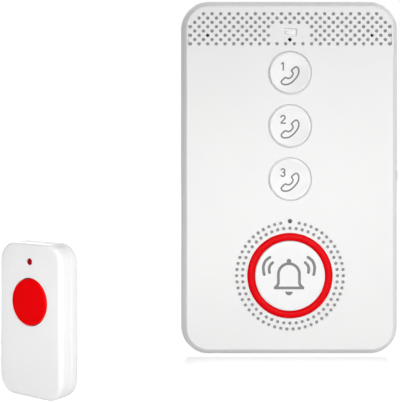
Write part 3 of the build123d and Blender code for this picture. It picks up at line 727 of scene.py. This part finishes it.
def smooth_path(points, closed=False):
    """Catmull-Rom curve through points (x, z)."""
    count = len(points)
    path = []
    spans = count if closed else count - 1
    for i in range(spans):
        if closed:
            p0, p1, p2, p3 = (points[(i + k) % count] for k in (-1, 0, 1, 2))
        else:
            p0, p1 = points[max(i - 1, 0)], points[i]
            p2, p3 = points[i + 1], points[min(i + 2, count - 1)]
        for k in range(CURVE_STEPS):
            t = k / CURVE_STEPS
            path.append(tuple(between(a, b, c, d, t) for a, b, c, d in zip(p0, p1, p2, p3)))
    path.append(points[0] if closed else points[-1])
    return path


def arc_path(x, z, radius, start, end, steps):
    """Points (x, z) on an arc, angles in degrees: 0 points to the right, 90 up."""
    angles = [math.radians(start + (end - start) * i / steps) for i in range(steps + 1)]
    return [(x + radius * math.cos(a), z + radius * math.sin(a)) for a in angles]


# Outline of the handset about the centre of a call button, in millimetres
HANDSET = [
    (2.1, 2.2), (2.75, 2.25), (3.35, 1.5), (3.5, 0.4), (3.0, -1.2), (1.7, -2.9), (0.1, -4.2),
    (-1.5, -4.7), (-2.9, -4.5), (-3.45, -3.6), (-2.7, -2.6), (-1.8, -1.9), (-1.2, -2.1),
    (-0.3, -2.2), (0.7, -1.5), (1.25, -0.4), (0.95, 0.35), (0.65, 0.85), (1.3, 1.6),
]
HANDSET_LINE = 0.6
DIGIT_AT = (-2.75, 2.6)
DIGIT_HIGH = 3.0
DIGIT_LINE = 0.55
DIGIT_ARC_STEPS = 12

# The digits about (0, 0), one unit high; an arc is its centre, radius, start and end angle
ONE = [(-0.18, 0.3), (0.04, 0.5), (0.04, -0.5)]
TWO_TOP = (0, 0.22, 0.28, 165, -35)
TWO_FOOT = [(0.0, -0.18), (-0.3, -0.5), (0.32, -0.5)]
THREE_ARCS = ((-0.02, 0.25, 0.25, 150, -80), (-0.02, -0.22, 0.28, 80, -150))

# The bell about the centre of the SOS button, in millimetres; what is mirrored is given for one side
BELL_LINE = 1.1
BELL_MIDDLE = -0.45
BELL_DOME = (0.7, 4.15, 22)  # height of its centre, radius, steps
BELL_SIDE = ((4.15, -2.9), (4.6, -3.9))
BELL_SKIRT = ((4.5, -3.7), (5.5, -4.65))
BELL_BASE = (5.5, -4.72)
SOUND_ARCS = (
    ((-6.85, 5.3), (-7.9, 4.1), (-8.25, 2.7), (-8.1, 1.35)),
    ((-7.95, 7.4), (-9.65, 6.0), (-10.5, 3.9), (-10.45, 1.9), (-10.2, 0.55)),
)

# The bell's knob, neck and clapper: height, radius, start and end angle
BELL_BLOBS = ((5.85, 0.92, 0, 360), (5.1, 0.75, 0, 360), (-6.15, 1.5, 180, 360))


def digit_paths(number):
    """Strokes of 1, 2 and 3 about (0, 0), one unit high."""
    if number == 1:
        return [ONE]
    if number == 2:
        return [arc_path(*TWO_TOP, DIGIT_ARC_STEPS) + TWO_FOOT]
    return [arc_path(*values, DIGIT_ARC_STEPS) for values in THREE_ARCS]


def bell_paths():
    """Strokes of the bell and its sound arcs about the centre of the SOS button."""
    middle = BELL_MIDDLE
    dome_z, dome_radius, dome_steps = BELL_DOME
    dome = arc_path(middle, dome_z, dome_radius, 180, 0, dome_steps)
    left = [(middle - out, z) for out, z in reversed(BELL_SIDE)]
    right = [(middle + out, z) for out, z in BELL_SIDE]
    base_out, base_z = BELL_BASE
    base = [(middle - base_out, base_z), (middle + base_out, base_z)]
    skirt = [[(middle + side * out, z) for out, z in BELL_SKIRT] for side in (-1, 1)]
    arcs = []
    for side in (-1, 1):
        for path in SOUND_ARCS:
            placed = [(middle - side * (x - middle), z) for x, z in path]
            arcs.append(smooth_path(placed))
    return [left + dome + right, base] + skirt + arcs


def densify(path):
    """The same path with points close enough for a print to follow its dome."""
    dense = [path[0]]
    for (x0, z0), (x1, z1) in zip(path, path[1:]):
        parts = max(1, math.ceil(math.hypot(x1 - x0, z1 - z0) / PRINT_STEP))
        dense += [(x0 + (x1 - x0) * k / parts, z0 + (z1 - z0) * k / parts) for k in range(1, parts + 1)]
    return dense


def make_print(name, paths, width, centre_z, lift, material, body, blobs=()):
    """Printed lines, and blobs of (x, z, radius, start, end), on a cap whose surface lift gives."""
    bm = bmesh.new()
    for path in paths:
        placed = [(x, z + centre_z) for x, z in densify(path)]
        ribbon(bm, placed, width, lift)
    for x, z, radius, start, end in blobs:
        blob(bm, x, z + centre_z, radius, lift, start, end)
    for face in bm.faces:
        face.normal_update()
        if face.normal.y > 0:
            face.normal_flip()
    obj = add_mesh(name, bm, material)
    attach(obj, body)


def cap_lift(radius, centre_z, top, dish):
    """A function that gives the y of a print on a dished cap at (x, z)."""

    def lift(x, z):
        distance = math.hypot(x, z - centre_z)
        return crown_y(radius - CAP_ROUND, distance, top - dish, dish) - PRINT_LIFT

    return lift


def make_call_button(number, z):
    """A dished cap with a skirt that fills its gap from behind, and its two prints."""
    node = f"call_button_{number}"
    top = box_mm(node)[0].y
    back, skirt, skirt_y = front_y + CAP_BACK, CALL_RADIUS + CALL_SKIRT, front_y + SKIRT_DEPTH
    profile = cap_profile(CALL_RADIUS, top - CAP_DISH, CAP_DISH, CAP_ROUND, skirt_y)[:-1]
    profile += [(skirt, skirt_y), (skirt, back), (0, back)]
    cap = turned(f"call_cap_{number}", 0, z, profile, MATERIALS["white_button"], node)
    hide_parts(node)

    lift = cap_lift(CALL_RADIUS, z, top, CAP_DISH)
    handset = smooth_path(HANDSET, closed=True)
    make_print(f"handset_print_{number}", [handset], HANDSET_LINE, z, lift, DARK_PRINT, node)
    digit_x, digit_z = DIGIT_AT
    strokes = [
        [(digit_x + across * DIGIT_HIGH, digit_z + up * DIGIT_HIGH) for across, up in path]
        for path in digit_paths(number)
    ]
    make_print(f"digit_print_{number}", strokes, DIGIT_LINE, z, lift, DARK_PRINT, node)


def make_sos_button():
    """The slightly dished SOS cap with its bell."""
    radius = SOS_RADIUS + RING_GAP
    top = box_mm("sos_button")[0].y
    profile = cap_profile(radius, top - SOS_DISH, SOS_DISH, CAP_ROUND, front_y + CAP_BACK, SOS_RINGS)
    cap = turned("sos_cap", 0, sos_z, profile, MATERIALS["white_button"], "sos_button")
    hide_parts("sos_button")
    lift = cap_lift(radius, sos_z, top, SOS_DISH)
    blobs = [(BELL_MIDDLE, *rest) for rest in BELL_BLOBS]
    make_print("bell_print", bell_paths(), BELL_LINE, sos_z, lift, PRINT_GREY, "sos_button", blobs)


def make_sos_ring():
    """The red ring, with a rounded front and straight sides."""
    inner, outer = RING_INNER - RING_GAP, RING_OUTER
    near = box_mm("sos_ring")[0].y
    half = (outer - inner) / 2
    middle = (outer + inner) / 2
    profile = [(inner, front_y + FACE_THICKNESS)]
    for i in range(RING_SECTION_STEPS + 1):
        a = math.pi * (1 - i / RING_SECTION_STEPS)
        across = math.copysign(abs(math.cos(a)) ** RING_ROUNDNESS, math.cos(a))
        rise = math.sin(a) ** RING_ROUNDNESS
        profile.append((middle + half * across, near + RING_HIGH * (1 - rise)))
    profile.append((outer, front_y + FACE_THICKNESS))
    bm = bmesh.new()
    loops = loft(bm, [circle(0, sos_z, r, y, RING_STEPS) for r, y in profile])
    bridge(bm, loops[-1], loops[0])
    red = MATERIALS["red_plastic"]
    ring = finish_mesh("sos_light_ring", bm, red, "panel", RING_SHARP_ANGLE)
    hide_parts("sos_ring")


def make_status_window():
    """The status window's lens, with a groove around it."""
    bm = bmesh.new()
    loops = []
    for out, deep in WINDOW_LENS:
        loops.append(window_loop(out, max(WINDOW_LEAST_CORNER, WINDOW_CORNER + out), deep))
    made = loft(bm, loops)
    cap_end(bm, made[0], (0, front_y + WINDOW_LENS_TOP, window_z))
    lens_piece = finish_mesh("window_lens", bm, STATUS_LENS, "panel")
    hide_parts("status_window")


def make_screws():
    """The rear cover's screws: flat heads with a cross recess, on plain shanks."""
    bm = bmesh.new()
    low, high = box_mm("cover_screws")
    top = high.y
    arm, half = SCREW_HEAD * CROSS_ARM, CROSS_HALF
    cross = [(half, arm), (half, half), (arm, half)]
    for _ in range(3):  # the other arms, each a quarter turn on
        cross += [(b, -a) for a, b in cross[-3:]]
    for x in (SCREW_INSET - half_width, half_width - SCREW_INSET):
        for z in (SCREW_LOW, panel_height - SCREW_DROP):
            profile = [(SCREW_HEAD + out, top - deep) for out, deep in SCREW_EDGE]
            profile.append((SCREW_HEAD, top - SCREW_HEAD_DEPTH))
            profile += [(SCREW_SHANK, top - SCREW_HEAD_DEPTH), (SCREW_SHANK, low.y)]
            loops = loft(bm, [circle(x, z, r, y, SMALL_DISC_STEPS) for r, y in profile])
            cap_end(bm, loops[-1], (x, low.y, z))
            recess = [
                [(x + a * share, top - deep, z + b * share) for a, b in cross]
                for share, deep in CROSS_TAPER
            ]
            cut = loft(bm, recess)
            cap_end(bm, cut[-1], (x, top - CROSS_DEPTH, z))
            fill_between(bm, [loops[0], cut[0]], (0, 1, 0))
    screws = finish_mesh("cross_head_screws", bm, MATERIALS["screw_steel"], "panel")
    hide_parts("cover_screws")


cover = make_front_cover()
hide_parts("front_cover")
for number, z in enumerate(call_z, start=1):
    make_call_button(number, z)
make_sos_button()
make_sos_ring()
make_status_window()
make_cloth_and_dimple_shade()
make_screws()


# The pendant is drawn upright about x = 0 in its own frame, then turned and placed like its CAD pieces
pendant_joint = next(joint for joint in frame["joints"] if joint["name"] == "pendant_press")
inward = Vector(pendant_joint["axis"]).normalized()
pendant_turn = math.atan2(-inward.x, inward.y)
shell_boxes = [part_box(name) for name in ("pendant_front", "pendant_rear")]
shells_low = Vector([min(float(box[0][k]) for box in shell_boxes) for k in range(3)])
shells_high = Vector([max(float(box[1][k]) for box in shell_boxes) for k in range(3)])
pendant_centre = (shells_low + shells_high) / 2


def place_pendant(obj):
    """Turns a mesh drawn about x = 0 to the pendant's place."""
    for vert in obj.data.vertices:
        x, y, z = vert.co
        vert.co = (
            pendant_centre.x + x * math.cos(pendant_turn) - y * math.sin(pendant_turn),
            pendant_centre.y + x * math.sin(pendant_turn) + y * math.cos(pendant_turn),
            z,
        )
    obj.data.update()


def shell_loops(profile, face_y, direction):
    """Rings of one shell, from (inset, depth) pairs, towards the seam."""
    loops = []
    for inset, deep in profile:
        y = face_y + direction * deep
        half_x = PENDANT_WIDTH / 2 - inset
        half_z = PENDANT_HEIGHT / 2 - inset
        loops.append(rounded(half_x, half_z, PENDANT_CORNER - inset, PENDANT_HEIGHT / 2, y))
    return loops


def edge_profile(radius, depth):
    """From the flat face over a round edge to the seam, as (inset, depth) pairs."""
    profile = [(radius + PENDANT_FACE_STRIP, 0), (radius, 0)]
    for i in range(1, PENDANT_ROUND_STEPS + 1):
        a = math.pi / 2 * i / PENDANT_ROUND_STEPS
        profile.append((radius * (1 - math.sin(a)), radius * (1 - math.cos(a))))
    return profile + [(inset, depth + deep) for inset, deep in PENDANT_SEAM_EDGE]


def pendant_hole(bm, z, radius, face_y, steps):
    """A round hole through the front shell's wall; returns its outer ring."""
    profile = [(radius + out, deep) for out, deep in PENDANT_LIP] + [(radius, PENDANT_WALL)]
    return loft(bm, [circle(0, z, r, face_y + deep, steps) for r, deep in profile])[0]


def make_pendant():
    """The pendant's shells, its button and its light."""
    face_y = -PENDANT_DEPTH / 2
    back_y = face_y + PENDANT_WALL
    bm = bmesh.new()
    borders = [loft(bm, shell_loops(edge_profile(PENDANT_ROUND, PENDANT_SEAM), face_y, 1))[0]]
    lens_hole = PENDANT_LENS_RADIUS + PENDANT_LENS_GAP
    borders.append(pendant_hole(bm, PENDANT_BUTTON_Z, PENDANT_HOLE, face_y, DISC_STEPS))
    borders.append(pendant_hole(bm, PENDANT_LENS_Z, lens_hole, face_y, SMALL_DISC_STEPS))
    fill_between(bm, borders, (0, -1, 0))
    white = MATERIALS["pendant_housing"]
    front = finish_mesh("pendant_front_shell", bm, white, "pendant")
    place_pendant(front)
    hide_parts("pendant_front")

    bm = bmesh.new()
    rear_depth = PENDANT_DEPTH - PENDANT_SEAM
    loops = loft(bm, shell_loops(edge_profile(PENDANT_ROUND, rear_depth), -face_y, -1))
    cap_end(bm, loops[0], (0, -face_y, PENDANT_HEIGHT / 2))
    rear = finish_mesh("pendant_rear_shell", bm, white, "pendant")
    place_pendant(rear)
    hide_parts("pendant_rear")

    top = face_y - PENDANT_PROUD
    profile = cap_profile(PENDANT_BUTTON_RADIUS, top, PENDANT_CROWN, PENDANT_CAP_ROUND, back_y)
    button = turned(
        "pendant_push", 0, PENDANT_BUTTON_Z, profile, PENDANT_RED, "pendant_button"
    )
    place_pendant(button)
    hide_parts("pendant_button")

    radius = PENDANT_LENS_RADIUS
    profile = [(share * radius, face_y + deep) for share, deep in PENDANT_LENS_DOME]
    profile.append((radius, back_y))
    red = MATERIALS["red_lens"]
    dot = turned(
        "pendant_light", 0, PENDANT_LENS_Z, profile, red, "pendant", SMALL_DISC_STEPS
    )
    place_pendant(dot)
    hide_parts("pendant_lens")


make_pendant()


# The floor: its half width in metres, the colour that lights the part, and what is seen of it
FLOOR_HALF = 4.0
FLOOR_COLOUR = (0.55, 0.55, 0.55)
FLOOR_GLOW = 0.865
FLOOR_SHADE = (0.5, 0.5, 0.5)
FLOOR_SHINE = 0.42
FLOOR_ROUGHNESS = 0.05

# Metres in front of the panel over which the floor's shine rises, and over which it fades
SHINE_RISE = 0.0032
SHINE_REACH = 0.036

# Strength of the world's light on the part, and its strength where it is seen
AMBIENT = 0.3
WORLD_SEEN = 1.0

# Lamps: place and target in metres, width and height in metres, watts, the beam's angle in degrees
LAMPS = {
    "key": ((0.45, -1.0, 0.4), (0, 0, 0.07), (0.6, 0.6), 4.5, 180),
    "low_fill": ((0.005, -0.45, 0.043), (0.005, 0, 0.043), (0.42, 0.06), 0.114, 60),
    "pendant_fill": ((0.002, -0.424, 0.03), (-0.092, -0.066, 0.026), (0.04, 0.05), 0.0024, 16),
    "rear_left": ((-0.45, 0.95, 0.6), (0, 0, 0.07), (0.5, 0.5), 3.0, 180),
    "rear_right": ((0.45, 0.95, 0.6), (0, 0, 0.07), (0.5, 0.5), 3.0, 180),
}


def seen_rays(nodes, links):
    """A value of 1 for rays from the camera and in gloss or glass, and 0 for all others."""
    path = nodes.new("ShaderNodeLightPath")
    gloss = new_math(nodes, "MAXIMUM")
    glass = new_math(nodes, "MAXIMUM")
    links.new(path.outputs["Is Camera Ray"], gloss.inputs[0])
    links.new(path.outputs["Is Glossy Ray"], gloss.inputs[1])
    links.new(gloss.outputs["Value"], glass.inputs[0])
    links.new(path.outputs["Is Transmission Ray"], glass.inputs[1])
    return glass.outputs["Value"]


def floor_shine(nodes, links):
    """The share of gloss: none at the panel's foot, most just in front of it, then fading."""
    place = nodes.new("ShaderNodeTexCoord")
    split = nodes.new("ShaderNodeSeparateXYZ")
    distance = new_math(nodes, "ABSOLUTE")
    amount = new_math(nodes, "MULTIPLY")
    foot = abs(cover_low.y) * MM
    fade = new_range(nodes, FLOOR_SHINE, 0, foot, foot + SHINE_REACH)
    rise = new_range(nodes, 0, 1, foot, foot + SHINE_RISE)
    rise.interpolation_type = "SMOOTHSTEP"
    links.new(place.outputs["Object"], split.inputs["Vector"])
    links.new(split.outputs["Y"], distance.inputs[0])
    for index, ramp in enumerate((fade, rise)):
        links.new(distance.outputs["Value"], ramp.inputs["Value"])
        links.new(ramp.outputs["Result"], amount.inputs[index])
    return amount.outputs["Value"]


def floor_material():
    """White where it is seen, with a faint reflection of the panel, and grey to light the part."""
    material, nodes, links, _ = new_material("glossy_floor")
    nodes.clear()
    out = nodes.new("ShaderNodeOutputMaterial")
    diffuse = nodes.new("ShaderNodeBsdfDiffuse")
    diffuse.inputs["Color"].default_value = (*FLOOR_COLOUR, 1)
    glow = nodes.new("ShaderNodeEmission")
    glow.inputs["Strength"].default_value = FLOOR_GLOW
    faint = nodes.new("ShaderNodeBsdfDiffuse")
    faint.inputs["Color"].default_value = (*FLOOR_SHADE, 1)
    lit = nodes.new("ShaderNodeAddShader")
    gloss = nodes.new("ShaderNodeBsdfGlossy")
    gloss.inputs["Roughness"].default_value = FLOOR_ROUGHNESS
    shine = nodes.new("ShaderNodeMixShader")
    seen = nodes.new("ShaderNodeMixShader")
    links.new(floor_shine(nodes, links), shine.inputs["Fac"])
    links.new(glow.outputs["Emission"], lit.inputs[0])
    links.new(faint.outputs["BSDF"], lit.inputs[1])
    links.new(lit.outputs["Shader"], shine.inputs[1])
    links.new(gloss.outputs["BSDF"], shine.inputs[2])
    links.new(seen_rays(nodes, links), seen.inputs["Fac"])
    links.new(diffuse.outputs["BSDF"], seen.inputs[1])
    links.new(shine.outputs["Shader"], seen.inputs[2])
    links.new(seen.outputs["Shader"], out.inputs["Surface"])
    return material


def make_floor():
    bm = bmesh.new()
    bmesh.ops.create_grid(bm, x_segments=1, y_segments=1, size=FLOOR_HALF)
    floor = add_mesh("floor", bm, floor_material())


def make_world():
    """Soft even light, seen as plain white by the camera and in gloss."""
    world = bpy.data.worlds.new("studio")
    bpy.context.scene.world = world
    world.use_nodes = True
    nodes, links = world.node_tree.nodes, world.node_tree.links
    background = nodes["Background"]
    background.inputs["Color"].default_value = (1, 1, 1, 1)
    level = new_range(nodes, AMBIENT, WORLD_SEEN)
    links.new(seen_rays(nodes, links), level.inputs["Value"])
    links.new(level.outputs["Result"], background.inputs["Strength"])


def make_lamp(name, place, target, size, power, spread):
    """An area lamp of a width and a height in metres, with its beam's angle in degrees."""
    lamp = bpy.data.lights.new(name, "AREA")
    lamp.shape = "ELLIPSE"
    lamp.size, lamp.size_y = size
    lamp.energy = power
    lamp.spread = math.radians(spread)
    obj = add_object(name, lamp)
    obj.location = place
    obj.rotation_euler = (Vector(target) - Vector(place)).to_track_quat("-Z", "Y").to_euler()


def make_camera():
    camera = bpy.data.cameras.new("camera")
    camera.sensor_width = SENSOR
    camera.lens = FOCAL_PIXELS / IMAGE_LONG_SIDE * SENSOR
    camera.shift_y = CAMERA_SHIFT_Y
    camera.clip_start = CLIP_START
    obj = add_object("camera", camera)
    obj.location = CAMERA_PLACE
    obj.rotation_euler = (math.pi / 2, 0, 0)
    bpy.context.scene.camera = obj


make_floor()
make_world()
for name, values in LAMPS.items():
    make_lamp(name, *values)
make_camera()
bpy.context.scene.view_settings.view_transform = "Standard"
